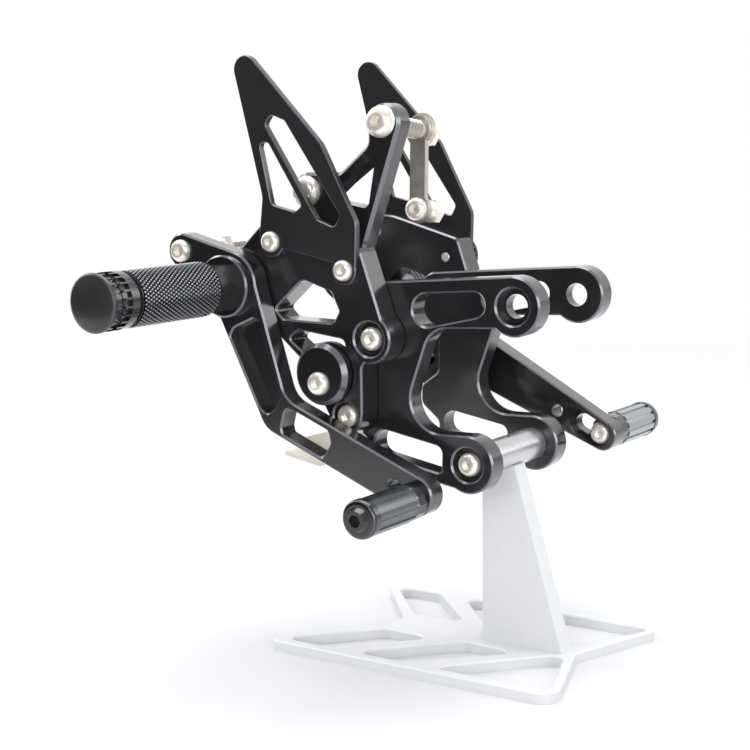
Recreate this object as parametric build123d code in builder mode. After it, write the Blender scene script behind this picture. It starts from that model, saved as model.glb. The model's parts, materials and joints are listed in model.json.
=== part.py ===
"""A pair of machined rear sets, bolted to both ends of the cross bar of a display stand.

Millimetres, Z up, X towards the front of the bike. The floor is Z = 0 and the bar's axis
crosses the Z axis along Y. Side outlines are drawn as (x, height over the bar's axis) for
the brake side at negative Y. The pieces both sides share are mirrored to the other side.
"""
import os
from math import cos, radians, sin

from build123d import *

os.makedirs("parts", exist_ok=True)

# Stand
bar_height = 94
bar_diameter = 15
bar_length = 50
bar_screw_diameter = 4
bar_screw_length = 20
bar_screw_sink = 3
bar_screw_socket = 2
base_thickness = 5
base_half_width = 56
base_rim = 5.5
base_edge = 0.6
upright_thickness = 10
upright_chamfer = 0.5
base_screw_spots = (8, 19)
base_screw_length = 16

# Layers, counted outwards from the middle of the stand
frame_thickness = 10
peg_plate_thickness = 13
guard_thickness = 3
lever_thickness = 10
lever_gap = 1
frame_inner = bar_length / 2
peg_plate_inner = frame_inner + frame_thickness
peg_plate_outer = peg_plate_inner + peg_plate_thickness
guard_outer = peg_plate_outer + guard_thickness
lever_inner = peg_plate_outer + lever_gap
lever_outer = lever_inner + lever_thickness

# Fits
running_clearance = 0.03
side_play = 0.05
bolt_clearance = 0.2

# Points the plates share, and the radii of the bosses round them
bar_axis = (0, 0)
bar_boss_radius = 13
arm_end = (22.5, 70.5)
arm_end_radius = 13
peg_axis = (-112, 76.3)
peg_hub_radius = 17
plate_bolt_high = (-42.2, 54.5)
plate_bolt_high_radius = 11
plate_bolt_low = (-55.3, 18.9)
plate_bolt_low_radius = 8.5
guard_bolt_rear = (-92.6, 96.3)
guard_bolt_rear_radius = 7
guard_bolt_front = (-53.1, 84.6)
guard_bolt_front_radius = 6.5
plate_edge = 0.8
arm_hole_diameter = 10.5
arm_recess_diameter = 16
arm_recess_depth = 4
bar_recess_diameter = 15.4
bar_recess_depth = 2.5
plate_recess_depth = 2.8
plate_recess_high_diameter = 15.6
plate_recess_low_diameter = 13
plate_thread_depth = 8.5

# Button head bolts: shank, head diameter, head height, socket across flats
M5 = (5, 9.4, 2.8, 3)
M6 = (6, 10.5, 3.3, 4)
M8 = (8, 14, 5, 5)
head_rounding = 0.85
socket_share = 0.6
tip_chamfer = 0.6
bar_bolt_length = 22
plate_bolt_length = 18
guard_bolt_rear_length = 14
guard_bolt_front_length = 16
thread_allowance = 1
nut_chamfer = 0.6

# Footpeg and the sleeve that the lever turns on
sleeve_diameter = 16
sleeve_collar_diameter = 22
peg_stud_diameter = 10
peg_stud_clearance = 0.1
peg_flange_diameter = 28.4
peg_flange_thickness = 4
peg_hexagon_across = 20.5
peg_hexagon_end = 77
peg_grip_diameter = 23.3
peg_ring_diameter = 24.9
peg_ring_root = 21.6
peg_ring_setbacks = ((15.3, 10.8), (10.8, 6.5), (3.9, 0))
peg_ring_notches = 22
peg_notch_width = 2.6
peg_notch_depth = 0.9
peg_body_end = 146.5
peg_neck_length = 18.1
peg_grip_end = peg_body_end - peg_neck_length
peg_cap_diameter = 21.8
peg_cap_rim = 0.5
peg_cap_rise = 1.8
peg_cap_stud_diameter = 10
peg_cap_stud_length = 15
peg_nut_across = 16
peg_nut_height = 8
peg_stud_overhang = 1.5

# Levers
lever_hub_radius = 16
toe_axis = (-12.9, -12.4)
toe_end_rounding = 8.8
rod_axis = (-138.6, 91.5)
rod_boss_radius = 8
spare_toe_hole = (-22.5, -7.5)
spare_toe_hole_diameter = 6.5
lever_pocket_depth = 5.5
lever_edge = 0.8
shift_toe_axis = (22, 2.2)
shift_toe_rounding = 6.5
shift_slot_end = (13, 6.9)
shift_slot_width = 11.6
shift_slot_depth = 4
shift_slot_opening = 8.2
shift_lever_edge = 0.6
shift_toe_bolt_length = 14
shift_rod_hole = (0.5, 11.9)
shift_rod_hole_diameter = 6

# Toe pegs
toe_stud_diameter = 8
toe_collar_across = 15.5
toe_collar_length = 8
toe_collar_end = lever_outer + toe_collar_length
toe_sleeve_diameter = 16.5
toe_sleeve_end = 96.5
toe_sleeve_flutes = 12
toe_flute_width = 1.6
toe_flute_depth = 0.7
toe_cap_diameter = 17
toe_cap_length = 4.7
toe_cap_end = toe_sleeve_end + toe_cap_length
toe_cap_rounding = 2
toe_button_diameter = 11
toe_button_height = 2.4
toe_button_slope = 27
toe_socket_across = 5
toe_socket_depth = 4
toe_spindle_reach = 1.5
toe_spindle_end = toe_sleeve_end + toe_spindle_reach

# Lever stop
stop_centre = (-62, 38.7)
stop_diameter = 28
stop_thickness = 10
stop_chamfer = 2
stop_groove_start = 3.4
stop_groove_width = 2.2
stop_groove_depth = 1.2
stop_bolt_length = 22
stop_bolt_spot = (-62.4, 34.8)

# Rod bolt through the lever's short arm
rod_collar_diameter = 10
rod_collar_length = 18
rod_nut_across = 10
rod_nut_height = 5
rod_bolt_end = 13

# Master cylinder bracket and the loose link on its upper bolt
bracket_thickness = 10.6
bracket_inner = peg_plate_inner - bracket_thickness
bracket_upper = (-42, 148.3)
bracket_lower = (-83.3, 118.3)
bracket_boss_radius = 8.5
bracket_lug = (-62.5, 89.5)
bracket_lug_radius = 8
bracket_chamfer = 1.5
bracket_screw_spots = ((-63, 88.5), (-70.5, 95.5))
bracket_screw_length = 19
bracket_lower_bolt_length = 22
bracket_upper_hole = 10
droop = 6.8
link_bolt_length = 42.5
link_thickness = 3
link_start = 29.8
link_lower_eye = (1.8, -35.6)
link_eye_radius = 6.25
link_width = 8
link_nut_height = 7
link_nut_flange_diameter = 16
link_nut_flange_thickness = 1.8
link_nut_hexagon_across = 12
link_lower_bolt_length = 18
link_spacer_diameter = 10
link_spacer_length = 8
link_nut_across = 10
link_lower_nut_height = 5

# Switch bracket, held by the brake side's lower plate bolt
switch_plate_thickness = 2
switch_flange_height = 12
switch_nut_height = 5


def side_plane(outboard):
    """Plane on the brake side, seen from outside: x is forward, y is up."""
    return Plane(origin=(0, -outboard, bar_height), x_dir=(1, 0, 0), z_dir=(0, -1, 0))


def inward_plane(outboard):
    """The same plane seen from the middle of the stand: x is backward, y is up."""
    return Plane(origin=(0, -outboard, bar_height), x_dir=(-1, 0, 0), z_dir=(0, 1, 0))


def drill(plane, points, diameter, depth):
    """Round holes that go in behind a plane."""
    with BuildSketch(plane) as holes:
        with Locations(*points):
            Circle(diameter / 2)
    extrude(holes.sketch, amount=-depth, mode=Mode.SUBTRACT)


def window(plane, points, radii, depth):
    """Opening with rounded corners that goes in behind a plane."""
    with BuildSketch(plane) as opening:
        with BuildLine():
            FilletPolyline(*points, radius=radii, close=True)
        make_face()
    extrude(opening.sketch, amount=-depth, mode=Mode.SUBTRACT)


def button_bolt(seat, spot, size, length):
    """Bolt whose head stands on the seat plane, its shank going in behind it."""
    shank, head, height, socket = size
    outwards = Axis(seat.origin, seat.z_dir)
    with BuildPart() as bolt:
        with BuildSketch(seat):
            with Locations(spot):
                Circle(head / 2)
        extrude(amount=height)
        fillet(bolt.edges().sort_by(outwards)[-1], height * head_rounding)
        with BuildSketch(seat):
            with Locations(spot):
                Circle(shank / 2)
        extrude(amount=-length)
        chamfer(bolt.edges().sort_by(outwards)[0], tip_chamfer)
        with BuildSketch(seat.offset(height)):
            with Locations(spot):
                RegularPolygon(socket / 2, 6, major_radius=False)
        extrude(amount=-height * socket_share, mode=Mode.SUBTRACT)
    return bolt


def hexagon_nut(seat, spot, across, bore, height):
    """Nut that hangs behind the seat plane."""
    outwards = Axis(seat.origin, seat.z_dir)
    with BuildPart() as nut:
        with BuildSketch(seat):
            with Locations(spot):
                RegularPolygon(across / 2, 6, major_radius=False)
                Circle(bore / 2, mode=Mode.SUBTRACT)
        extrude(amount=-height)
        chamfer(nut.faces().sort_by(outwards)[0].outer_wire().edges(), nut_chamfer)
    return nut


def export_piece(piece, name):
    """Name one piece and write it."""
    piece.label = name
    export_step(piece, f"parts/{name}.step")


def export_pair(piece, name):
    """Write a piece of the brake side and its mirror image on the shift side."""
    export_piece(piece, f"right_{name}")
    export_piece(mirror(piece, about=Plane.XZ), f"left_{name}")


# Stand base: a flat plate with six slanted windows and a notch at each end
with BuildPart() as stand_base:
    with BuildSketch(Plane.XY):
        with BuildLine():
            FilletPolyline(
                (-102.5, -base_half_width), (55, -base_half_width), (36, 0),
                (55, base_half_width), (-102.5, base_half_width), (-61, 7), (-61, -7),
                radius=(5.5, 8, 3, 8, 5.5, 3, 3), close=True)
        make_face()
        rim = base_half_width - base_rim
        for side in (-1, 1):
            with BuildLine():
                FilletPolyline((-92.5, side * rim), (-58.6, side * 13.4), (-29.7, side * 14),
                               (-66.8, side * rim), radius=4, close=True)
            make_face(mode=Mode.SUBTRACT)
            with BuildLine():
                FilletPolyline((-52, side * rim), (-16, side * 11), (13.5, side * 13),
                               (-25, side * rim), radius=4, close=True)
            make_face(mode=Mode.SUBTRACT)
            with BuildLine():
                FilletPolyline((-10, side * rim), (27.5, side * 8.6), (34, side * 9),
                               (49.8, side * rim), radius=3, close=True)
            make_face(mode=Mode.SUBTRACT)
    extrude(amount=base_thickness)
    chamfer(stand_base.faces().sort_by(Axis.Z)[-1].edges(), base_edge)
    with Locations(*[Location((x, 0, 0), (180, 0, 0)) for x in base_screw_spots]):
        CounterSinkHole(M5[0] / 2, M5[0], base_thickness)
export_piece(stand_base.part, "stand_base")

# Upright: a tapered plate that carries the bar in a round seat
with BuildPart() as stand_upright:
    foot = base_thickness - bar_height
    with BuildSketch(side_plane(upright_thickness / 2)):
        with BuildLine():
            Polyline((-10, foot), (31, foot), (6.8, -5), (-10, -5), close=True)
        make_face()
        Circle(bar_diameter / 2, mode=Mode.SUBTRACT)
    extrude(amount=-upright_thickness)
    chamfer(stand_upright.edges().filter_by(Axis.Z), upright_chamfer)
    with BuildSketch(Plane.XY.offset(bar_height - bar_screw_length)):
        Circle(bar_screw_diameter / 2)
    extrude(amount=bar_screw_length, mode=Mode.SUBTRACT)
    with BuildSketch(Plane.XY.offset(base_thickness)):
        with Locations(*[(x, 0) for x in base_screw_spots]):
            Circle(M5[0] / 2)
    extrude(amount=base_screw_length, mode=Mode.SUBTRACT)
export_piece(stand_upright.part, "stand_upright")

# Cross bar, tapped at both ends
bar_thread_depth = bar_bolt_length - (frame_thickness - bar_recess_depth) + thread_allowance
with BuildPart() as stand_bar:
    with BuildSketch(side_plane(frame_inner)):
        Circle(bar_diameter / 2)
    extrude(amount=-bar_length)
    chamfer(stand_bar.edges().filter_by(GeomType.CIRCLE), upright_chamfer)
    drill(side_plane(frame_inner), [bar_axis], M6[0], bar_thread_depth)
    drill(inward_plane(-frame_inner), [bar_axis], M6[0], bar_thread_depth)
    with BuildSketch(Plane.XY.offset(bar_height + bar_diameter / 2)):
        Circle(bar_screw_diameter / 2)
    extrude(amount=-bar_diameter, mode=Mode.SUBTRACT)
export_piece(stand_bar.part, "stand_bar")

# Socket screw sunk in the bar's top
screw_top = bar_height + bar_diameter / 2 - bar_screw_sink
with BuildPart() as stand_bar_screw:
    with BuildSketch(Plane.XY.offset(screw_top)):
        Circle(bar_screw_diameter / 2)
    extrude(amount=-bar_screw_length)
    with BuildSketch(Plane.XY.offset(screw_top)):
        RegularPolygon(bar_screw_socket / 2, 6, major_radius=False)
    extrude(amount=-bar_screw_socket, mode=Mode.SUBTRACT)
export_piece(stand_bar_screw.part, "stand_bar_screw")

# Countersunk screws that hold the base under the upright
with BuildPart() as stand_base_screws:
    with BuildSketch(Plane.XY):
        with Locations(*[(x, 0) for x in base_screw_spots]):
            Circle(M5[0])
    extrude(amount=M5[0] / 2, taper=45)
    with BuildSketch(Plane.XY):
        with Locations(*[(x, 0) for x in base_screw_spots]):
            Circle(M5[0] / 2)
    extrude(amount=base_screw_length)
    with BuildSketch(Plane.XY):
        with Locations(*[(x, 0) for x in base_screw_spots]):
            RegularPolygon(M5[3] / 2, 6, major_radius=False)
    extrude(amount=M5[3] / 2, mode=Mode.SUBTRACT)
export_piece(stand_base_screws.part, "stand_base_screws")

# Frame plate: a C with the arm that bolts to the bike above the open side
with BuildPart() as frame_plate:
    with BuildSketch(side_plane(frame_inner)):
        with BuildLine():
            FilletPolyline(
                (22.5, 83.5), (-60, 77.6), (-60, 60), (-51.5, 47), (-51.5, 30), (-61.3, 23),
                (-61.3, 14), (-51.5, 6), (-51.5, -3.8), (0, -12.3), (0, 12.9), (-35.6, 12.1),
                (-18.5, 59.1), (22.5, 61.1),
                radius=(0, 7, 5, 8, 4, 5, 5, 4, 8, 0, 0, 15, 12, 0), close=True)
        make_face()
        Circle(bar_boss_radius)
        with Locations(arm_end):
            Circle(arm_end_radius)
    extrude(amount=frame_thickness)
    outer = side_plane(peg_plate_inner)
    with BuildSketch(outer) as arm_slot:
        with Locations((-20.3, 67.1)):
            Circle(7.3)
        with Locations((3.3, 70.5)):
            Circle(5.5)
        make_hull()
    extrude(arm_slot.sketch, amount=-frame_thickness, mode=Mode.SUBTRACT)
    window(outer, [(-48.3, 12.9), (-13.3, 6.8), (-13.3, -5.2), (-48.3, 1)], (5.5, 4, 1.5, 5.5),
           frame_thickness)
    drill(outer, [bar_axis], M6[0] + 2 * bolt_clearance, frame_thickness)
    drill(outer, [bar_axis], bar_recess_diameter, bar_recess_depth)
    drill(outer, [arm_end], arm_hole_diameter, frame_thickness)
    drill(outer, [arm_end], arm_recess_diameter, arm_recess_depth)
    drill(outer, [plate_bolt_high, plate_bolt_low], M6[0], plate_thread_depth)
    chamfer(frame_plate.faces().sort_by(Axis.Y)[0].edges(), plate_edge)
    chamfer(frame_plate.faces().sort_by(Axis.Y)[-1].outer_wire().edges(), plate_edge)
export_piece(mirror(frame_plate.part, about=Plane.XZ), "left_frame_plate")
with BuildPart() as brake_frame_plate:
    add(frame_plate.part)
    drill(side_plane(peg_plate_inner), [plate_bolt_low], M6[0], frame_thickness)
export_piece(brake_frame_plate.part, "right_frame_plate")

# Peg plate: carries the footpeg, the heel guard and the lever
with BuildPart() as peg_plate:
    with BuildSketch(side_plane(peg_plate_inner)):
        with BuildLine():
            FilletPolyline(
                (-112, 93.3), (-99, 105.2), (-83, 104.2), (-46.4, 93.8), (-33, 56),
                (-46.3, 42), (-46.3, 18), (-55, 10.4), (-63.8, 17), (-77.5, 41.3),
                (-100, 60), (-112, 59.3),
                radius=(0, 7, 20, 3, 0, 4, 8, 8, 8, 20, 8, 0), close=True)
        make_face()
        for spot, radius in ((peg_axis, peg_hub_radius), (plate_bolt_high, plate_bolt_high_radius),
                             (plate_bolt_low, plate_bolt_low_radius)):
            with Locations(spot):
                Circle(radius)
    extrude(amount=peg_plate_thickness)
    outer = side_plane(peg_plate_outer)
    window(outer, [(-93.5, 65.5), (-77.5, 79.5), (-62.5, 74.7), (-58.2, 66), (-61.5, 60.6),
                   (-89, 61.2)], (2, 4, 3, 2, 2, 2), peg_plate_thickness)
    window(outer, [(-86, 52.3), (-80.5, 56.6), (-56, 53.7), (-54.3, 46), (-57, 43.8),
                   (-74, 43.8)], (1.5, 3, 3, 2, 2, 3), peg_plate_thickness)
    drill(outer, [peg_axis], peg_stud_diameter + 2 * peg_stud_clearance, peg_plate_thickness)
    plate_bolt_hole = M6[0] + 2 * bolt_clearance
    drill(outer, [plate_bolt_high, plate_bolt_low], plate_bolt_hole, peg_plate_thickness)
    drill(outer, [plate_bolt_high], plate_recess_high_diameter, plate_recess_depth)
    drill(outer, [plate_bolt_low], plate_recess_low_diameter, plate_recess_depth)
    drill(outer, [guard_bolt_rear, guard_bolt_front], M5[0], peg_plate_thickness)
    drill(outer, [stop_bolt_spot], M6[0], peg_plate_thickness)
    chamfer(peg_plate.faces().sort_by(Axis.Y)[0].edges(), plate_edge)
    chamfer(peg_plate.faces().sort_by(Axis.Y)[-1].outer_wire().edges(), plate_edge)
shift_peg_plate = mirror(peg_plate.part, about=Plane.XZ)
export_piece(shift_peg_plate, "left_peg_plate")
with BuildPart() as brake_peg_plate:
    add(peg_plate.part)
    backward_spots = [(-x, z) for x, z in bracket_screw_spots]
    drill(inward_plane(peg_plate_inner), backward_spots, M5[0], bracket_screw_length - bracket_thickness)
export_piece(brake_peg_plate.part, "right_peg_plate")

# Heel guard: a thin pointed plate with two slots
with BuildPart() as heel_guard:
    with BuildSketch(side_plane(peg_plate_outer)):
        with BuildLine():
            FilletPolyline(
                (-117, 193.8), (-64, 139.6), (-46, 105.5), (-46.8, 84.6), (-53.1, 86.7),
                (-92.6, 94.8), (-99.6, 96.3), (-97, 116.3),
                radius=(6.2, 12, 8, 0, 0, 0, 0, 10), close=True)
        make_face()
        with Locations(guard_bolt_rear):
            Circle(guard_bolt_rear_radius)
        with Locations(guard_bolt_front):
            Circle(guard_bolt_front_radius)
    extrude(amount=guard_thickness)
    outer = side_plane(guard_outer)
    window(outer, [(-94.6, 148.3), (-91.2, 152.8), (-83.8, 150), (-54.6, 108.8), (-57.5, 103.2),
                   (-66.8, 106.6)], 2.5, guard_thickness)
    window(outer, [(-98, 140.5), (-93.2, 140.5), (-75, 112.6), (-79, 109.8), (-91.8, 112.9)], 2,
           guard_thickness)
    drill(outer, [guard_bolt_rear, guard_bolt_front], M5[0] + 2 * bolt_clearance, guard_thickness)
    chamfer(heel_guard.faces().sort_by(Axis.Y)[0].edges(), plate_edge / 2)
export_pair(heel_guard.part, "heel_guard")

# Bolts that both sides share
bar_seat = side_plane(peg_plate_inner - bar_recess_depth)
export_pair(button_bolt(bar_seat, bar_axis, M6, bar_bolt_length).part, "bar_bolt")
plate_seat = side_plane(peg_plate_outer - plate_recess_depth)
export_pair(button_bolt(plate_seat, plate_bolt_high, M6, plate_bolt_length).part, "plate_bolt_high")
guard_seat = side_plane(guard_outer)
rear_bolt = button_bolt(guard_seat, guard_bolt_rear, M5, guard_bolt_rear_length)
export_pair(rear_bolt.part, "guard_bolt_rear")
front_bolt = button_bolt(guard_seat, guard_bolt_front, M5, guard_bolt_front_length)
export_pair(front_bolt.part, "guard_bolt_front")

# Lower plate bolts: the brake side's one is longer and holds the switch bracket
left_low_bolt = button_bolt(plate_seat, plate_bolt_low, M6, plate_bolt_length)
export_piece(mirror(left_low_bolt.part, about=Plane.XZ), "left_plate_bolt_low")
switch_seat = frame_inner - switch_plate_thickness
low_bolt_length = peg_plate_outer - plate_recess_depth - switch_seat + switch_nut_height + thread_allowance
right_low_bolt = button_bolt(plate_seat, plate_bolt_low, M6, low_bolt_length)
export_piece(right_low_bolt.part, "right_plate_bolt_low")
switch_nut = hexagon_nut(side_plane(switch_seat), plate_bolt_low, rod_nut_across, M6[0], switch_nut_height)
export_piece(switch_nut.part, "right_plate_bolt_nut")

# Sleeve with a thin collar: the lever turns on it between the plate and the footpeg
peg_flange_inner = lever_outer + side_play
with BuildPart() as pivot_sleeve:
    with BuildSketch(side_plane(peg_plate_outer)):
        with Locations(peg_axis):
            Circle(sleeve_collar_diameter / 2)
    extrude(amount=lever_gap - side_play)
    with BuildSketch(side_plane(peg_plate_outer)):
        with Locations(peg_axis):
            Circle(sleeve_diameter / 2)
    extrude(amount=peg_flange_inner - peg_plate_outer)
    drill(side_plane(peg_flange_inner), [peg_axis], peg_stud_diameter + 2 * peg_stud_clearance,
          peg_flange_inner)
export_pair(pivot_sleeve.part, "pivot_sleeve")

# Footpeg: stud, flange, hexagon, grip and notched rings turned from one bar
peg_stud_end = peg_plate_inner - peg_nut_height - peg_stud_overhang
peg_flange_outer = peg_flange_inner + peg_flange_thickness
with BuildPart() as footpeg:
    with BuildSketch(side_plane(peg_stud_end)):
        with Locations(peg_axis):
            Circle(peg_stud_diameter / 2)
    extrude(amount=peg_flange_inner - peg_stud_end)
    with BuildSketch(side_plane(peg_flange_inner)):
        with Locations(peg_axis):
            Circle(peg_flange_diameter / 2)
    extrude(amount=peg_flange_thickness)
    chamfer(footpeg.edges().filter_by(GeomType.CIRCLE).sort_by(Axis.Y)[0], plate_edge)
    with BuildSketch(side_plane(peg_flange_outer)):
        with Locations(peg_axis):
            RegularPolygon(peg_hexagon_across / 2, 6, major_radius=False)
    extrude(amount=peg_hexagon_end - peg_flange_outer)
    with BuildSketch(side_plane(peg_hexagon_end)):
        with Locations(peg_axis):
            Circle(peg_grip_diameter / 2)
    extrude(amount=peg_grip_end - peg_hexagon_end)
    with BuildSketch(side_plane(peg_grip_end)):
        with Locations(peg_axis):
            Circle(peg_ring_root / 2)
    extrude(amount=peg_body_end - peg_grip_end)
    ring_spans = [(peg_body_end - start, peg_body_end - end) for start, end in peg_ring_setbacks]
    for start, end in ring_spans:
        with BuildSketch(side_plane(start)):
            with Locations(peg_axis):
                Circle(peg_ring_diameter / 2)
        extrude(amount=end - start)
    notch_radius = (peg_ring_diameter - peg_notch_depth) / 2
    for start, end in ring_spans[1:]:
        with BuildSketch(side_plane(start)):
            with Locations(peg_axis):
                with PolarLocations(notch_radius, peg_ring_notches):
                    Rectangle(peg_notch_depth * 2, peg_notch_width)
        extrude(amount=end - start, mode=Mode.SUBTRACT)
    drill(side_plane(peg_body_end), [peg_axis], peg_cap_stud_diameter, peg_cap_stud_length)
export_pair(footpeg.part, "footpeg")

with BuildPart() as footpeg_cap:
    with BuildSketch(side_plane(peg_body_end)):
        with Locations(peg_axis):
            Circle(peg_cap_diameter / 2)
    extrude(amount=peg_cap_rim + 2 * peg_cap_rise)
    dome_radius = ((peg_cap_diameter / 2) ** 2 + peg_cap_rise ** 2) / (2 * peg_cap_rise)
    dome_centre = dome_radius - peg_body_end - peg_cap_rim - peg_cap_rise
    with Locations((peg_axis[0], dome_centre, bar_height + peg_axis[1])):
        Sphere(dome_radius, mode=Mode.INTERSECT)
    with BuildSketch(side_plane(peg_body_end)):
        with Locations(peg_axis):
            Circle(peg_cap_stud_diameter / 2)
    extrude(amount=-peg_cap_stud_length)
export_pair(footpeg_cap.part, "footpeg_cap")

footpeg_nut = hexagon_nut(side_plane(peg_plate_inner), peg_axis, peg_nut_across, peg_stud_diameter,
                          peg_nut_height)
export_pair(footpeg_nut.part, "footpeg_nut")

# Brake lever: a bent arm with a milled pocket, a window at the elbow and a short arm
pivot_bore = sleeve_diameter + 2 * running_clearance
with BuildPart() as brake_lever:
    with BuildSketch(side_plane(lever_inner)):
        with Locations(peg_axis):
            Circle(lever_hub_radius)
        with Locations(rod_axis):
            Circle(rod_boss_radius)
        make_hull()
        with BuildLine():
            FilletPolyline(
                (-97.2, 80.8), (-80.5, 26.3), (-0.8, -5.8), (-7.5, -22.5), (-92.5, 11.9),
                (-122.2, 71.2), radius=(0, 12, toe_end_rounding, toe_end_rounding, 12, 0), close=True)
        make_face()
    extrude(amount=lever_thickness)
    outer = side_plane(lever_outer)
    window(outer, [(-111.4, 53.3), (-109, 57.2), (-95.9, 62.8), (-83.4, 26.8), (-87.4, 21.2),
                   (-91.5, 18.4), (-95.6, 21.7)], (1.5, 3, 2.5, 3, 2, 3, 3), lever_pocket_depth)
    window(outer, [(-83.2, 13.2), (-80.5, 23.2), (-57.6, 14), (-56.4, 8), (-60.6, 1.2),
                   (-82.5, 10)], (2, 3.5, 3.5, 3, 2.5, 1.5), lever_thickness)
    drill(outer, [peg_axis], pivot_bore, lever_thickness)
    drill(outer, [toe_axis], toe_stud_diameter, lever_thickness)
    drill(outer, [rod_axis], M6[0], lever_thickness)
    drill(outer, [spare_toe_hole], spare_toe_hole_diameter, lever_thickness)
    chamfer(brake_lever.faces().sort_by(Axis.Y)[0].edges(), lever_edge)
    chamfer(brake_lever.faces().sort_by(Axis.Y)[-1].outer_wire().edges(), lever_edge)
export_piece(brake_lever.part, "brake_lever")

# Shift lever: a straight tapered arm with a long stepped slot for the toe peg
with BuildPart() as shift_lever:
    with BuildSketch(side_plane(lever_inner)):
        with Locations(peg_axis):
            Circle(lever_hub_radius)
        with BuildLine():
            FilletPolyline(
                (-105, 82.1), (33.3, 4.7), (27.2, -7.3), (-36.4, 18.5), (-112, 64),
                radius=(0, shift_toe_rounding, shift_toe_rounding, 4, 0), close=True)
        make_face()
    extrude(amount=lever_thickness)
    for width, depth in ((shift_slot_width, shift_slot_depth), (shift_slot_opening, lever_thickness)):
        with BuildSketch(side_plane(lever_inner)) as toe_slot:
            with Locations(shift_toe_axis, shift_slot_end):
                Circle(width / 2)
            make_hull()
        extrude(toe_slot.sketch, amount=depth, mode=Mode.SUBTRACT)
    outer = side_plane(lever_outer)
    drill(outer, [peg_axis], pivot_bore, lever_thickness)
    drill(outer, [shift_rod_hole], shift_rod_hole_diameter, lever_thickness)
    chamfer(shift_lever.faces().sort_by(Axis.Y)[0].outer_wire().edges(), shift_lever_edge)
    chamfer(shift_lever.faces().sort_by(Axis.Y)[-1].outer_wire().edges(), shift_lever_edge)
    mirror(about=Plane.XZ, mode=Mode.REPLACE)
export_piece(shift_lever.part, "shift_lever")


def toe_peg(spot, head_plane):
    """Stud through the lever with a faceted collar, ending in a spindle for the sleeve."""
    with BuildPart() as peg:
        with BuildSketch(side_plane(lever_outer)):
            with Locations(spot):
                RegularPolygon(toe_collar_across / 2, 12, major_radius=False)
        extrude(amount=toe_collar_end - lever_outer)
        chamfer(peg.faces().sort_by(Axis.Y)[0].edges(), plate_edge)
        with BuildSketch(side_plane(head_plane)):
            with Locations(spot):
                Circle(toe_stud_diameter / 2)
        extrude(amount=toe_spindle_end - head_plane)
    return peg


def toe_sleeve(spot):
    """Fluted grip sleeve on the spindle."""
    with BuildPart() as sleeve:
        with BuildSketch(side_plane(toe_collar_end)):
            with Locations(spot):
                Circle(toe_sleeve_diameter / 2)
                with PolarLocations(toe_sleeve_diameter / 2, toe_sleeve_flutes):
                    Rectangle(toe_flute_depth * 2, toe_flute_width, mode=Mode.SUBTRACT)
                Circle(toe_stud_diameter / 2, mode=Mode.SUBTRACT)
        extrude(amount=toe_sleeve_end - toe_collar_end)
    return sleeve


def toe_cap(spot):
    """Rounded end cap with a raised conical button and its socket."""
    with BuildPart() as cap:
        with BuildSketch(side_plane(toe_sleeve_end)):
            with Locations(spot):
                Circle(toe_cap_diameter / 2)
        extrude(amount=toe_cap_end - toe_sleeve_end)
        fillet(cap.edges().sort_by(Axis.Y)[0], toe_cap_rounding)
        with BuildSketch(side_plane(toe_cap_end)):
            with Locations(spot):
                Circle(toe_button_diameter / 2)
        extrude(amount=toe_button_height, taper=toe_button_slope)
        with BuildSketch(side_plane(toe_cap_end + toe_button_height)):
            with Locations(spot):
                RegularPolygon(toe_socket_across / 2, 6, major_radius=False)
        extrude(amount=-toe_socket_depth, mode=Mode.SUBTRACT)
        drill(side_plane(toe_spindle_end), [spot], toe_stud_diameter, toe_spindle_end - toe_sleeve_end)
    return cap


# Toe pegs: the shift side's one is held by a bolt from the floor of the lever's slot
export_piece(toe_peg(toe_axis, lever_inner).part, "brake_toe_peg")
export_piece(toe_sleeve(toe_axis).part, "brake_toe_sleeve")
export_piece(toe_cap(toe_axis).part, "brake_toe_cap")
shift_head_plane = lever_inner + shift_slot_depth
shift_bolt_seat = inward_plane(shift_head_plane)
shift_bolt_spot = (-shift_toe_axis[0], shift_toe_axis[1])
with BuildPart() as shift_toe_peg:
    add(toe_peg(shift_toe_axis, shift_head_plane).part)
    drill(shift_bolt_seat, [shift_bolt_spot], M6[0], shift_toe_bolt_length)
    mirror(about=Plane.XZ, mode=Mode.REPLACE)
export_piece(shift_toe_peg.part, "shift_toe_peg")
shift_toe_bolt = button_bolt(shift_bolt_seat, shift_bolt_spot, M6, shift_toe_bolt_length)
export_piece(mirror(shift_toe_bolt.part, about=Plane.XZ), "shift_toe_bolt")
export_piece(mirror(toe_sleeve(shift_toe_axis).part, about=Plane.XZ), "shift_toe_sleeve")
export_piece(mirror(toe_cap(shift_toe_axis).part, about=Plane.XZ), "shift_toe_cap")

# Eccentric lever stop
with BuildPart() as lever_stop:
    with BuildSketch(side_plane(peg_plate_outer)):
        with Locations(stop_centre):
            Circle(stop_diameter / 2)
    extrude(amount=stop_thickness)
    chamfer(lever_stop.edges().sort_by(Axis.Y)[0], stop_chamfer)
    with BuildSketch(side_plane(peg_plate_outer + stop_groove_start)):
        with Locations(stop_centre):
            Circle(stop_diameter / 2)
            Circle(stop_diameter / 2 - stop_groove_depth, mode=Mode.SUBTRACT)
    extrude(amount=stop_groove_width, mode=Mode.SUBTRACT)
    drill(side_plane(peg_plate_outer + stop_thickness), [stop_bolt_spot], M6[0], stop_thickness)
export_piece(lever_stop.part, "lever_stop")
stop_seat = side_plane(peg_plate_outer + stop_thickness)
stop_bolt = button_bolt(stop_seat, stop_bolt_spot, M6, stop_bolt_length)
export_piece(stop_bolt.part, "lever_stop_bolt")

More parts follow.
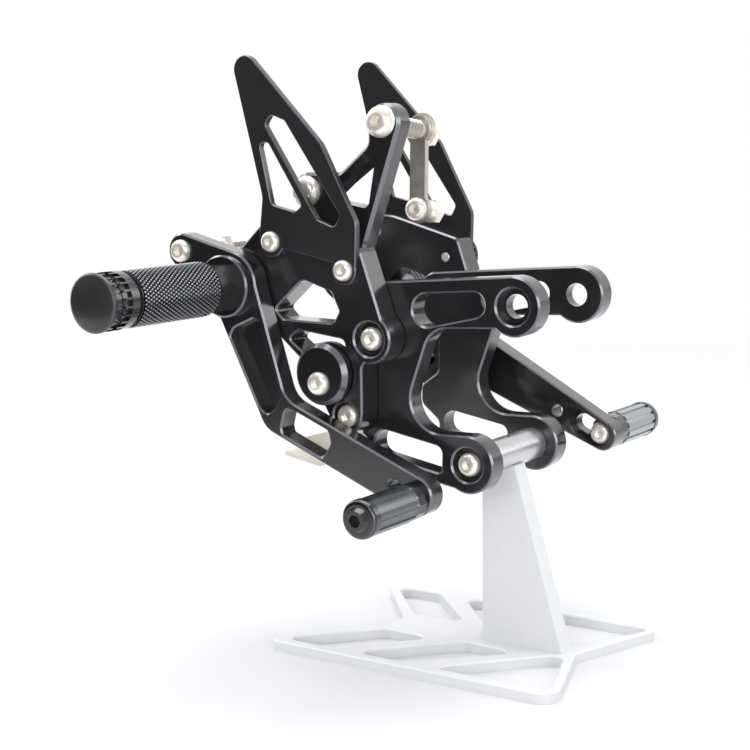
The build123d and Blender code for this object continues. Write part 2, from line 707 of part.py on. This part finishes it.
# Rod bolt with its collar and nut, inboard of the lever's short arm
rod_bolt = button_bolt(side_plane(lever_outer), rod_axis, M6, lever_outer - rod_bolt_end)
export_piece(rod_bolt.part, "rod_bolt")
with BuildPart() as rod_collar:
    with BuildSketch(side_plane(lever_inner)):
        with Locations(rod_axis):
            Circle(rod_collar_diameter / 2)
            Circle(M6[0] / 2, mode=Mode.SUBTRACT)
    extrude(amount=-rod_collar_length)
export_piece(rod_collar.part, "rod_collar")
rod_nut = hexagon_nut(side_plane(lever_inner - rod_collar_length), rod_axis, rod_nut_across, M6[0],
                      rod_nut_height)
export_piece(rod_nut.part, "rod_nut")

# Master cylinder bracket, on the peg plate's inner face
with BuildPart() as cylinder_bracket:
    leg_edge = bracket_upper[0] - bracket_boss_radius
    foot_edge = bracket_lower[1] + bracket_boss_radius
    with BuildSketch(side_plane(bracket_inner)) as leg:
        with Locations(bracket_upper):
            Circle(bracket_boss_radius)
        with Locations(bracket_lug):
            Circle(bracket_lug_radius)
        make_hull()
        with Locations((leg_edge, foot_edge)):
            Rectangle(30, 60, align=(Align.MAX, Align.MIN), mode=Mode.SUBTRACT)
        with BuildLine():
            FilletPolyline(
                bracket_upper, (leg_edge, bracket_upper[1]), (leg_edge, 138.9), (-65.4, foot_edge),
                (bracket_lower[0], foot_edge), bracket_lower, bracket_lug,
                radius=(0, 0, 5, 3, 0, 0, 0), close=True)
        make_face()
    with BuildSketch(side_plane(bracket_inner)) as foot:
        with Locations(bracket_lower):
            Circle(bracket_boss_radius)
        with Locations(bracket_lug):
            Circle(bracket_lug_radius)
        make_hull()
    extrude(leg.sketch, amount=bracket_thickness)
    extrude(foot.sketch, amount=bracket_thickness)
    outer = side_plane(peg_plate_inner)
    window(outer, [(-45.8, 134.4), (-50.2, 110.8), (-72.5, 114.8), (-64, 121.6)], (2, 3, 2, 3),
           bracket_thickness)
    drill(outer, [bracket_upper], bracket_upper_hole, bracket_thickness)
    drill(outer, [bracket_lower], M8[0], bracket_thickness)
    drill(outer, bracket_screw_spots, M5[0] + 2 * bolt_clearance, bracket_thickness)
    chamfer(cylinder_bracket.faces().sort_by(Axis.Y)[0].outer_wire().edges(), bracket_chamfer)
    chamfer(cylinder_bracket.faces().sort_by(Axis.Y)[-1].outer_wire().edges(), bracket_chamfer)
export_piece(cylinder_bracket.part, "cylinder_bracket")
for number, (x, z) in enumerate(bracket_screw_spots, 1):
    screw = button_bolt(inward_plane(bracket_inner), (-x, z), M5, bracket_screw_length)
    export_piece(screw.part, f"cylinder_bracket_screw_{number}")
lower_bolt = button_bolt(side_plane(peg_plate_inner), bracket_lower, M8, bracket_lower_bolt_length)
export_piece(lower_bolt.part, "cylinder_lower_bolt")

# Loose link: its long bolt droops in the bracket's wide hole until head and shank touch
slack = (bracket_upper_hole - M8[0]) / 2
hole_floor = (-bracket_inner, bar_height + bracket_upper[1] - slack)
head_setout = M8[1] / 2 * sin(radians(droop))
head_travel = (bracket_thickness + head_setout) / cos(radians(droop))
head_y = hole_floor[0] - head_travel * cos(radians(droop))
head_z = hole_floor[1] + head_travel * sin(radians(droop))
tilted = Plane(origin=(bracket_upper[0], head_y, head_z), x_dir=(1, 0, 0),
               z_dir=(0, -cos(radians(droop)), sin(radians(droop))))
export_piece(button_bolt(tilted, (0, 0), M8, link_bolt_length).part, "link_bolt")
link_outer = tilted.offset(-link_start)
link_inner = tilted.offset(-link_start - link_thickness)
with BuildPart() as reservoir_link:
    with BuildSketch(link_inner):
        with Locations((0, 0), link_lower_eye):
            Circle(link_eye_radius)
        with BuildLine():
            Line((0, 0), link_lower_eye)
        trace(line_width=link_width)
    extrude(amount=link_thickness)
    drill(link_outer, [(0, 0)], M8[0], link_thickness)
    drill(link_outer, [link_lower_eye], M6[0], link_thickness)
export_piece(reservoir_link.part, "reservoir_link")
with BuildPart() as link_nut:
    with BuildSketch(link_inner):
        Circle(link_nut_flange_diameter / 2)
    extrude(amount=-link_nut_flange_thickness)
    with BuildSketch(link_inner):
        RegularPolygon(link_nut_hexagon_across / 2, 6, major_radius=False)
    extrude(amount=-link_nut_height)
    drill(link_inner, [(0, 0)], M8[0], link_nut_height)
export_piece(link_nut.part, "link_nut")
link_lower_bolt = button_bolt(link_outer, link_lower_eye, M6, link_lower_bolt_length)
export_piece(link_lower_bolt.part, "link_lower_bolt")
with BuildPart() as link_spacer:
    with BuildSketch(link_inner):
        with Locations(link_lower_eye):
            Circle(link_spacer_diameter / 2)
            Circle(M6[0] / 2, mode=Mode.SUBTRACT)
    extrude(amount=-link_spacer_length)
export_piece(link_spacer.part, "link_spacer")
link_lower_nut = hexagon_nut(link_inner.offset(-link_spacer_length), link_lower_eye, link_nut_across,
                             M6[0], link_lower_nut_height)
export_piece(link_lower_nut.part, "link_lower_nut")

# Switch bracket: a bent strip on the frame plate's inner face
with BuildPart() as switch_bracket:
    with BuildSketch(side_plane(switch_seat)):
        with BuildLine():
            FilletPolyline((-61, 25), (-48, 20), (-52, 10), (-76, -8.5), (-99, -4.5), (-99, 1), (-76, 8),
                           radius=(5, 5, 4, 2, 1, 1, 6), close=True)
        make_face()
    extrude(amount=switch_plate_thickness)
    with BuildSketch(side_plane(frame_inner)):
        with BuildLine():
            Polyline((-78, -8.2), (-98, -4.7), (-98, -2.7), (-78, -6.2), close=True)
        make_face()
    extrude(amount=switch_flange_height)
    drill(side_plane(frame_inner), [plate_bolt_low], M6[0], switch_plate_thickness)
export_piece(switch_bracket.part, "switch_bracket")
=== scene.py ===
"""Looks of the motorbike rear sets and their display stand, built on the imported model."""
import json
from math import cos, pi, radians, sin

import bmesh
import bpy
from mathutils import Matrix, Vector


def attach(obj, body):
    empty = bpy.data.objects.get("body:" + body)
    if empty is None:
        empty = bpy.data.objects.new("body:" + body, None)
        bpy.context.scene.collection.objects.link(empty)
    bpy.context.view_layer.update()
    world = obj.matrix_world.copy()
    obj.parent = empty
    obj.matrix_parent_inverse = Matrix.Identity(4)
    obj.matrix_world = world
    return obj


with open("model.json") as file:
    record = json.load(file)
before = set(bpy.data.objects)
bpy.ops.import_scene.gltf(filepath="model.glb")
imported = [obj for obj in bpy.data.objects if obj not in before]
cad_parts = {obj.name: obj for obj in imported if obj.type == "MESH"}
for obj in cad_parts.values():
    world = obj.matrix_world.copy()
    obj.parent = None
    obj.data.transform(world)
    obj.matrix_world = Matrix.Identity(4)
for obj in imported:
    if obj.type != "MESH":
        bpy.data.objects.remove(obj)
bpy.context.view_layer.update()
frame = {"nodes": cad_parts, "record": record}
scene = bpy.context.scene
scene.view_settings.view_transform = "Standard"

# Camera at the photograph's angle: a long lens a little above the object, seen from the
# front right. It is turned so slightly on its axis that the frame leans by under a degree.
camera_data = bpy.data.cameras.new("camera")
camera_data.sensor_width = 36
camera_data.lens = 76.8
camera_data.shift_x = -0.004
camera_data.shift_y = 0.0373
camera_data.clip_end = 20
camera = bpy.data.objects.new("camera", camera_data)
camera.location = (0.3492, -0.6259, 0.2357)
camera.rotation_euler = (radians(80.6), radians(0.79), radians(33.67))
scene.collection.objects.link(camera)
scene.camera = camera


def srgb(code):
    """Linear colour for a shader socket from an sRGB hex code."""
    values = [int(code[i:i + 2], 16) / 255 for i in (1, 3, 5)]
    linear = [v / 12.92 if v <= 0.04045 else ((v + 0.055) / 1.055) ** 2.4 for v in values]
    return (*linear, 1)


def add(tree, kind, links=(), **settings):
    """Adds a node, sets its properties and sockets, and links (socket, output) pairs to it."""
    node = tree.nodes.new(kind)
    for key, value in settings.items():
        if key.startswith("in_"):
            socket = key[3:].replace("_", " ")
            node.inputs[int(socket) if socket.isdigit() else socket].default_value = value
        else:
            setattr(node, key, value)
    for socket, output in links:
        tree.links.new(output, node.inputs[socket])
    return node


def new_material(name):
    """An empty node material: its tree, and the object's coordinates in metres."""
    material = bpy.data.materials.new(name)
    material.use_nodes = True
    tree = material.node_tree
    tree.nodes.clear()
    return material, tree, add(tree, "ShaderNodeTexCoord").outputs["Object"]


# Studio paper: a seamless white sweep that curves up behind the object. Its far part shows
# white by itself to the camera and in reflections, and its near part takes the shadow.
sweep_mesh = bmesh.new()
sweep_width = 8
sweep_edge = -sweep_width / 2
sweep_front = -3
bend_start = 1.6
bend_radius = 0.8
sweep_height = 4.0
sweep_turn = Matrix.Rotation(radians(33.8), 4, "Z")
line = []
for corner in ((sweep_edge, sweep_front, 0), (sweep_edge, bend_start, 0),
               (sweep_edge, bend_start + bend_radius, sweep_height)):
    line.append(bmesh.ops.create_vert(sweep_mesh, co=corner)["vert"][0])
sweep_mesh.edges.new(line[:2])
bend = bmesh.ops.spin(sweep_mesh, geom=[line[1]], cent=(sweep_edge, bend_start, bend_radius),
                      axis=(1, 0, 0), angle=pi / 2, steps=16)
bend_end = [part for part in bend["geom_last"] if isinstance(part, bmesh.types.BMVert)][0]
sweep_mesh.edges.new((bend_end, line[2]))
wide = bmesh.ops.extrude_edge_only(sweep_mesh, edges=sweep_mesh.edges[:])
moved = [part for part in wide["geom"] if isinstance(part, bmesh.types.BMVert)]
bmesh.ops.translate(sweep_mesh, verts=moved, vec=(sweep_width, 0, 0))
bmesh.ops.transform(sweep_mesh, matrix=sweep_turn, verts=sweep_mesh.verts[:])
bmesh.ops.recalc_face_normals(sweep_mesh, faces=sweep_mesh.faces[:])
sweep_data = bpy.data.meshes.new("studio_sweep")
sweep_mesh.to_mesh(sweep_data)
for face in sweep_data.polygons:
    face.use_smooth = True
sweep = bpy.data.objects.new("studio_sweep", sweep_data)
scene.collection.objects.link(sweep)
paper, tree, place = new_material("studio_paper")
fibre = add(tree, "ShaderNodeTexNoise", [("Vector", place)], in_Scale=1 / 0.4)
tone = add(tree, "ShaderNodeMix", [("Factor", fibre.outputs["Fac"])], data_type="RGBA",
           in_6=srgb("#CECED0"), in_7=srgb("#D2D2D4"))
away = add(tree, "ShaderNodeVectorMath", [(0, place)], operation="LENGTH")
far = add(tree, "ShaderNodeMapRange", [("Value", away.outputs["Value"])], in_From_Min=0.35,
          in_From_Max=1.3)
rays = add(tree, "ShaderNodeLightPath")
seen = add(tree, "ShaderNodeMath", [(0, rays.outputs["Is Camera Ray"]), (1, rays.outputs["Is Glossy Ray"])],
           operation="MAXIMUM")
glow = add(tree, "ShaderNodeMath", [(0, far.outputs[0]), (1, seen.outputs[0])], operation="MULTIPLY")
matt = add(tree, "ShaderNodeBsdfPrincipled", [("Base Color", tone.outputs[2])], in_Roughness=0.7)
lit = add(tree, "ShaderNodeEmission", in_Strength=1.0)
blend = add(tree, "ShaderNodeMixShader", [(0, glow.outputs[0]), (1, matt.outputs[0]), (2, lit.outputs[0])])
add(tree, "ShaderNodeOutputMaterial", [("Surface", blend.outputs[0])])
sweep_data.materials.append(paper)

# Studio air: soft even light from all round, and plain white where the camera looks past
# the paper.
world = bpy.data.worlds.new("studio_air")
world.use_nodes = True
tree = world.node_tree
tree.nodes.clear()
rays = add(tree, "ShaderNodeLightPath")
even = add(tree, "ShaderNodeBackground", in_Strength=0.6)
even.inputs["Color"].default_value = (0.97, 0.985, 1.0, 1)
white = add(tree, "ShaderNodeBackground", in_Strength=1.0)
white.inputs["Color"].default_value = (1, 1, 1, 1)
sky = add(tree, "ShaderNodeMixShader", [(0, rays.outputs["Is Camera Ray"]), (1, even.outputs[0]),
                                        (2, white.outputs[0])])
add(tree, "ShaderNodeOutputWorld", [("Surface", sky.outputs[0])])
scene.world = world

# Studio lights: soft boxes overhead, at the left, at the front, at the front right and behind.
# Each one is aimed at the middle of the object. The numbers are place, width and watts.
light_target = Vector((-0.04, 0, 0.14))
for name, place, size, watts in (("box_top", (-0.15, 0.25, 1.5), 1.4, 26),
                                 ("box_left", (-1.5, -0.3, 1.0), 1.0, 13),
                                 ("box_front_right", (1.5, -0.9, 0.5), 0.9, 9),
                                 ("box_front", (0.4, -1.7, 0.7), 0.8, 10),
                                 ("box_back_right", (1.2, 1.2, 0.9), 1.0, 7)):
    light_data = bpy.data.lights.new(name, "AREA")
    light_data.size = size
    light_data.energy = watts
    light = bpy.data.objects.new(name, light_data)
    light.location = place
    light.rotation_euler = (light_target - light.location).to_track_quat("-Z", "Y").to_euler()
    scene.collection.objects.link(light)

# Black card at the front left: the dark side of the studio, a felt covered board on a stand.
# Only reflections see it, and it is what makes the sealed black faces look deep.
card_mesh = bmesh.new()
bmesh.ops.create_grid(card_mesh, x_segments=1, y_segments=1, size=0.5)
card_turn = Vector((0.56, 0.83, 0)).to_track_quat("Z", "Y").to_matrix().to_4x4()
card_place = Matrix.Translation((-0.33, -0.50, 0.26)) @ card_turn @ Matrix.Diagonal((1.6, 0.5, 1, 1))
bmesh.ops.transform(card_mesh, matrix=card_place, verts=card_mesh.verts[:])
card_data = bpy.data.meshes.new("studio_black_card")
card_mesh.to_mesh(card_data)
card = bpy.data.objects.new("studio_black_card", card_data)
scene.collection.objects.link(card)
card.visible_camera = False
card.visible_diffuse = False
card.visible_shadow = False
felt, tree, place = new_material("black_felt")
nap = add(tree, "ShaderNodeTexNoise", [("Vector", place)], in_Scale=1 / 0.01)
tone = add(tree, "ShaderNodeMix", [("Factor", nap.outputs["Fac"])], data_type="RGBA",
           in_6=srgb("#050505"), in_7=srgb("#0A0A0A"))
cloth = add(tree, "ShaderNodeBsdfDiffuse", [("Color", tone.outputs[2])])
add(tree, "ShaderNodeOutputMaterial", [("Surface", cloth.outputs[0])])
card_data.materials.append(felt)


def anodised(name, dark, light, chamfer_highlight_colour, roughness, coat, metallic=0.5):
    """Dyed anodise on milled metal: cloudy tone, a blasted grain, and a painted highlight on the chamfers.

    The chamfers are the faces that lean halfway between a plate's face and its side. They get a
    lighter colour, a painted highlight that stands in for the light they catch."""
    material, tree, place = new_material(name)
    cloud = add(tree, "ShaderNodeTexNoise", [("Vector", place)], in_Scale=1 / 0.022, in_Detail=3.0)
    grain = add(tree, "ShaderNodeTexNoise", [("Vector", place)], in_Scale=1 / 0.00025, in_Detail=2.0)
    normal = add(tree, "ShaderNodeTexCoord").outputs["Normal"]
    split = add(tree, "ShaderNodeSeparateXYZ", [("Vector", normal)])
    lean = add(tree, "ShaderNodeMath", [(0, split.outputs["Y"])], operation="ABSOLUTE")
    off = add(tree, "ShaderNodeMath", [(0, lean.outputs[0])], operation="SUBTRACT", in_1=0.7071)
    apart = add(tree, "ShaderNodeMath", [(0, off.outputs[0])], operation="ABSOLUTE")
    # Painted highlight: faces that lean like chamfers get a lighter colour in place of the light they
    # catch.
    chamfer_highlight_mask = add(tree, "ShaderNodeMapRange", [("Value", apart.outputs[0])], in_From_Min=0.04,
              in_From_Max=0.1, in_To_Min=1.0, in_To_Max=0.0)
    tone = add(tree, "ShaderNodeMix", [("Factor", cloud.outputs["Fac"])], data_type="RGBA",
               in_6=srgb(dark), in_7=srgb(light))
    tone_with_chamfer_highlight = add(tree, "ShaderNodeMix", [("Factor", chamfer_highlight_mask.outputs[0]), (6, tone.outputs[2])],
                data_type="RGBA", in_7=srgb(chamfer_highlight_colour))
    rough = add(tree, "ShaderNodeMapRange", [("Value", cloud.outputs["Fac"])],
                in_To_Min=roughness - 0.04, in_To_Max=roughness + 0.05)
    bump = add(tree, "ShaderNodeBump", [("Height", grain.outputs["Fac"])], in_Strength=0.1,
               in_Distance=0.00003)
    shader = add(tree, "ShaderNodeBsdfPrincipled",
                 [("Base Color", tone_with_chamfer_highlight.outputs[2]), ("Roughness", rough.outputs[0]),
                  ("Normal", bump.outputs[0])], in_Metallic=metallic, in_Coat_Weight=coat,
                 in_Coat_Roughness=0.18)
    add(tree, "ShaderNodeOutputMaterial", [("Surface", shader.outputs[0])])
    return material


def dress(slot, material):
    """Gives a finish to every CAD node of one of the record's material slots."""
    for part in frame["record"]["subparts"]:
        if part["material_slot"] == slot:
            frame["nodes"][part["node"]].material_slots[0].material = material


# Frame plates and peg plates: milled from aluminium plate, dyed black, with a glossy sealed
# face and edges that were broken with a chamfer cutter. The chamfers carry a painted highlight.
dress("plate_black", anodised("glossy_black_anodise", "#27272A", "#303033", "#66666A", 0.2, 1.0))

# Heel guards: thin pointed aluminium plates, dyed black, with two windows each. Their face
# is a little duller than that of the milled plates.
dress("guard_black", anodised("guard_black_anodise", "#2E2E31", "#37373A", "#58585C", 0.32, 0.6))

# Brake and shift levers: arms milled from aluminium plate in the same sealed black, with
# chamfers all round that carry a painted highlight
dress("lever_black", anodised("lever_black_anodise", "#28282B", "#313134", "#66666A", 0.2, 1.0))

# Cylinder bracket: milled from aluminium and dyed black. Lever stop, toe peg collars and
# toe caps: turned from bar, in a deeper and glossier black.
dress("bracket_black", anodised("bracket_black_anodise", "#29292C", "#323235", "#6C6C70", 0.26, 1.0))
dress("trim_black", anodised("trim_black_anodise", "#1C1C1F", "#242427", "#606064", 0.2, 1.0))

# Footpegs: turned from aluminium bar and dyed black, with a hexagon at the inner end. The
# domed end cap is a piece of its own, blasted before dyeing and so duller.
dress("peg_black", anodised("footpeg_black_anodise", "#242427", "#2C2C2F", "#58585C", 0.2, 1.0))
cap_black = anodised("end_cap_black_anodise", "#323235", "#3B3B3E", "#58585C", 0.38, 0.5)
dress("cap_black", cap_black)

# End domes: the blasted outer skin of each footpeg's turned aluminium end cap, as wide as the
# notched rings behind it, with a small lip all round. The corners are radius and distance
# along the footpeg, from the lip's inner edge to the middle of the dome.
peg_axis = Vector((-0.112, 0, 0.1703))
dome_corners = [(0.0108, 0.1452), (0.0125, 0.1452), (0.01262, 0.1455), (0.01262, 0.1463),
                (0.0123, 0.1469), (0.0112, 0.14727), (0.009, 0.14789), (0.006, 0.14851),
                (0.003, 0.14888), (0, 0.149)]
for side, label in ((-1, "right"), (1, "left")):
    dome = bmesh.new()
    last = None
    for radius, along in dome_corners:
        vert = bmesh.ops.create_vert(dome, co=(radius, side * along, 0))["vert"][0]
        if last:
            dome.edges.new((last, vert))
        last = vert
    bmesh.ops.spin(dome, geom=dome.verts[:] + dome.edges[:], cent=(0, 0, 0), axis=(0, 1, 0),
                   angle=2 * pi, steps=96, use_merge=True)
    bmesh.ops.remove_doubles(dome, verts=dome.verts[:], dist=0.000001)
    bmesh.ops.translate(dome, verts=dome.verts[:], vec=peg_axis)
    bmesh.ops.recalc_face_normals(dome, faces=dome.faces[:])
    dome_data = bpy.data.meshes.new(f"{label}_footpeg_dome")
    dome.to_mesh(dome_data)
    dome_data.materials.append(cap_black)
    for face in dome_data.polygons:
        face.use_smooth = True
    piece = bpy.data.objects.new(f"{label}_footpeg_dome", dome_data)
    scene.collection.objects.link(piece)
    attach(piece, "sets")

# Knurled grips: crossed helical grooves leave rows of sharp diamonds. The crests are coloured
# bright, partly as rubbed wear and partly as a painted highlight, and the grooves stay black.
# Each is one turned tube over the plain grip.
knurl_root = 0.0117
knurl_crest = 0.0124
knurl_start = 0.0773
knurl_end = 0.1281
knurl_cells_round = 44
knurl_cell_length = 0.0032
knurl_run_out = 0.0008
knurl_steps_in_cell = 6
knurl_steps_round = knurl_cells_round * knurl_steps_in_cell
knurl_step = knurl_cell_length / knurl_steps_in_cell
knurl_material, tree, place = new_material("knurled_black_anodise")
centred = add(tree, "ShaderNodeVectorMath", [(0, place)], operation="SUBTRACT", in_1=tuple(peg_axis))
across = add(tree, "ShaderNodeVectorMath", [(0, centred.outputs[0])], operation="MULTIPLY",
             in_1=(1, 0, 1))
reach = add(tree, "ShaderNodeVectorMath", [(0, across.outputs[0])], operation="LENGTH")
# The crests' light colour is partly rubbed wear and partly a painted highlight.
crest_wear_and_highlight = add(tree, "ShaderNodeMapRange", [("Value", reach.outputs["Value"])],
            in_From_Min=knurl_root + 0.0002, in_From_Max=knurl_crest - 0.0001)
tone = add(tree, "ShaderNodeMix", [("Factor", crest_wear_and_highlight.outputs[0])], data_type="RGBA",
           in_6=srgb("#121214"), in_7=srgb("#A2A4A8"))
shader = add(tree, "ShaderNodeBsdfPrincipled", [("Base Color", tone.outputs[2])], in_Metallic=1.0,
             in_Roughness=0.3)
add(tree, "ShaderNodeOutputMaterial", [("Surface", shader.outputs[0])])
for side, label in ((-1, "right"), (1, "left")):
    knurl = bmesh.new()
    ring = bmesh.ops.create_circle(knurl, segments=knurl_steps_round, radius=knurl_root)["verts"]
    bmesh.ops.rotate(knurl, verts=ring, matrix=Matrix.Rotation(pi / 2, 3, "X"))
    bmesh.ops.translate(knurl, verts=ring, vec=(0, knurl_start, 0))
    edges = knurl.edges[:]
    for step in range(round((knurl_end - knurl_start) / knurl_step)):
        grown = bmesh.ops.extrude_edge_only(knurl, edges=edges)["geom"]
        ring = [part for part in grown if isinstance(part, bmesh.types.BMVert)]
        edges = [part for part in grown if isinstance(part, bmesh.types.BMEdge)]
        bmesh.ops.translate(knurl, verts=ring, vec=(0, knurl_step, 0))
    for vert in knurl.verts:
        turned = Vector((vert.co.x, vert.co.z)).angle_signed(Vector((1, 0)))
        turns = turned / (2 * pi) * knurl_cells_round
        along = vert.co.y - knurl_start
        waves = [(turns + lead * along / knurl_cell_length) % 1 for lead in (1, -1)]
        rise = min(1 - abs(2 * wave - 1) for wave in waves)
        fade = min(1, along / knurl_run_out, (knurl_end - vert.co.y) / knurl_run_out)
        radius = knurl_root + (knurl_crest - knurl_root) * min(1, rise * 1.25) * max(0, fade)
        stretch = radius / knurl_root
        vert.co = (peg_axis.x + vert.co.x * stretch, side * vert.co.y,
                   peg_axis.z + vert.co.z * stretch)
    bmesh.ops.recalc_face_normals(knurl, faces=knurl.faces[:])
    if side < 0:
        bmesh.ops.reverse_faces(knurl, faces=knurl.faces[:])
    knurl_data = bpy.data.meshes.new(f"{label}_footpeg_knurl")
    knurl.to_mesh(knurl_data)
    knurl_data.materials.append(knurl_material)
    piece = bpy.data.objects.new(f"{label}_footpeg_knurl", knurl_data)
    scene.collection.objects.link(piece)
    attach(piece, "sets")


def plated(name, colour, shade, roughness, grain_size, depth, metallic=1.0):
    """Bare or plated metal with a fine grain and slightly uneven polish."""
    material, tree, place = new_material(name)
    cloud = add(tree, "ShaderNodeTexNoise", [("Vector", place)], in_Scale=1 / 0.004, in_Detail=3.0)
    grain = add(tree, "ShaderNodeTexNoise", [("Vector", place)], in_Scale=1 / grain_size, in_Detail=2.0)
    tone = add(tree, "ShaderNodeMix", [("Factor", cloud.outputs["Fac"])], data_type="RGBA",
               in_6=srgb(shade), in_7=srgb(colour))
    rough = add(tree, "ShaderNodeMapRange", [("Value", cloud.outputs["Fac"])],
                in_To_Min=roughness - 0.05, in_To_Max=roughness + 0.07)
    bump = add(tree, "ShaderNodeBump", [("Height", grain.outputs["Fac"])], in_Strength=0.2,
               in_Distance=depth)
    shader = add(tree, "ShaderNodeBsdfPrincipled",
                 [("Base Color", tone.outputs[2]), ("Roughness", rough.outputs[0]),
                  ("Normal", bump.outputs[0])], in_Metallic=metallic)
    add(tree, "ShaderNodeOutputMaterial", [("Surface", shader.outputs[0])])
    return material


# Toe sleeves: turned and fluted aluminium, dyed titanium grey and slipped over the toe pegs.
# The shift side's is a lighter grey.
dress("toe_grey", anodised("titanium_grey_anodise", "#5A5E62", "#666A6E", "#8A8E92", 0.26, 0.6, 0.9))
light_grey = anodised("light_titanium_grey_anodise", "#989CA0", "#A4A8AC", "#BCC0C4", 0.3, 0.5, 0.9)
frame["nodes"]["shift_toe_sleeve"].material_slots[0].material = light_grey

# Screws, nuts and spacers: nickel plated steel, slightly warm, with a soft polish. The
# sleeves that the levers turn on are of turned stainless steel.
nickel = plated("nickel_plated_steel", "#F6F1E8", "#ECE6DC", 0.2, 0.0004, 0.00001, 0.6)
dress("bolt_steel", nickel)
dress("sleeve_steel", plated("turned_stainless", "#C8C8C8", "#B8B8B8", 0.25, 0.0003, 0.00001))

# Screw threads that show: on the link's long bolt between bracket and link, and on the free
# end of the rod bolt. Each is a thin ridged tube over the plain shank, one ridge to a pitch.
# The grooves have a dark material of their own, a painted shade, because ridges this fine hardly show
# without it.
link_droop = radians(6.8)
thread_rise = 0.075
thread_sides = 48
# Painted shade for the thread grooves, which stands in for the shade they lie in.
groove_painted_shade = plated("thread_groove_painted_shade", "#2E2C29", "#242220", 0.4, 0.0004, 0.00001)
for name, start, heading, shank, pitch, length, body in (
        ("link_bolt_thread", (-0.042, -0.02332, 0.24117), (0, cos(link_droop), -sin(link_droop)),
         0.004, 0.00125, 0.0168, "sets"),
        ("rod_bolt_thread", (-0.1386, -0.0258, 0.1855), (0, 1, 0), 0.003, 0.001, 0.012, "brake_pedal")):
    thread = bmesh.new()
    levels = [shank * (1.004 + thread_rise * share) for share in (0, 0.5, 1, 0.5)]
    ring = bmesh.ops.create_circle(thread, segments=thread_sides, radius=levels[0])["verts"]
    edges = thread.edges[:]
    for step in range(4 * round(length / pitch)):
        grown = bmesh.ops.extrude_edge_only(thread, edges=edges)["geom"]
        ring = [part for part in grown if isinstance(part, bmesh.types.BMVert)]
        edges = [part for part in grown if isinstance(part, bmesh.types.BMEdge)]
        swell = levels[(step + 1) % 4] / levels[step % 4]
        bmesh.ops.scale(thread, verts=ring, vec=(swell, swell, 1))
        bmesh.ops.translate(thread, verts=ring, vec=(0, 0, pitch / 4))
    aim = Vector(heading).to_track_quat("Z", "Y").to_matrix().to_4x4()
    bmesh.ops.transform(thread, matrix=Matrix.Translation(start) @ aim, verts=thread.verts[:])
    bmesh.ops.recalc_face_normals(thread, faces=thread.faces[:])
    # The faces of each groove get the painted shade material.
    for count, face in enumerate(thread.faces):
        face.material_index = 1 if count // thread_sides % 4 in (0, 3) else 0
    thread_data = bpy.data.meshes.new(name)
    thread.to_mesh(thread_data)
    thread_data.materials.append(nickel)
    thread_data.materials.append(groove_painted_shade)
    piece = bpy.data.objects.new(name, thread_data)
    scene.collection.objects.link(piece)
    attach(piece, body)

# Reservoir link: a strap with two eyes, laser cut from stainless sheet and blasted with
# glass beads to a dull grey. Its long bolt sits loose in the bracket's wide hole.
dress("link_steel", plated("bead_blasted_stainless", "#CCC8C0", "#A8A49C", 0.42, 0.0005, 0.00012))

# Switch bracket: a strip of steel sheet, cut and bent, with a pale zinc finish. The brake
# side's lower plate bolt and a nut hold it on the frame plate's inner face.
dress("pale_sheet", plated("pale_zinc_sheet", "#EAE6DA", "#DEDACD", 0.4, 0.0004, 0.00002, 0.4))

# Stand: base and upright are cut from aluminium plate and anodised in fine satin silver. The
# cross bar is turned from bright aluminium, and one screw pins it to the upright.
dress("stand_silver", plated("satin_silver_anodise", "#D7D8DA", "#D1D2D4", 0.4, 0.0002, 0.00002, 0.05))
dress("bar_silver", plated("turned_bright_aluminium", "#D0D0D2", "#C2C2C5", 0.25, 0.0003, 0.00002, 0.9))
